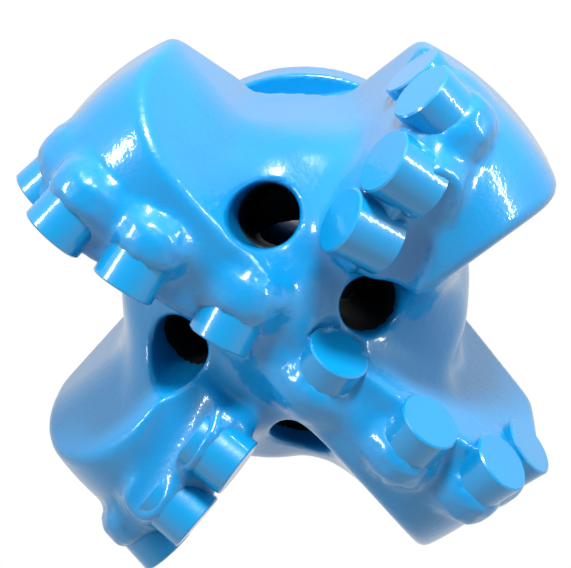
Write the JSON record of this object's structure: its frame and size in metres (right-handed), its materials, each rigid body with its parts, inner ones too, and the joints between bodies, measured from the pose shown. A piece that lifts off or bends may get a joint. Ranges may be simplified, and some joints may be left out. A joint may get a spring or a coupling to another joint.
{
  "type": "PDC drill bit",
  "caption": "Fixed-cutter drill bit with straight blades, round PDC cutters, waterway ports between the blades and a tapered pin, painted glossy blue all over.",
  "frame": {"origin": "centre of the pin's end face, where the central bore opens", "axes": "+Z along the bit's axis towards the cutting crown, +X and +Y along the junk slots, with the blades at 45 degrees between them"},
  "size_m": [0.17, 0.1721, 0.2279],
  "materials": {
    "blue_paint": "glossy"
  },
  "bodies": {
    "root": {"bit_body": "blue_paint", "cutter_a_cone": "blue_paint", "cutter_a_nose": "blue_paint", "cutter_a_shoulder": "blue_paint", "cutter_a_gauge": "blue_paint", "cutter_b_cone": "blue_paint", "cutter_b_nose": "blue_paint", "cutter_b_shoulder": "blue_paint", "cutter_b_gauge": "blue_paint", "cutter_c_cone": "blue_paint", "cutter_c_nose": "blue_paint", "cutter_c_shoulder": "blue_paint", "cutter_c_gauge": "blue_paint", "cutter_d_cone": "blue_paint", "cutter_d_nose": "blue_paint", "cutter_d_shoulder": "blue_paint", "cutter_d_gauge": "blue_paint"}
  },
  "joints": []
}
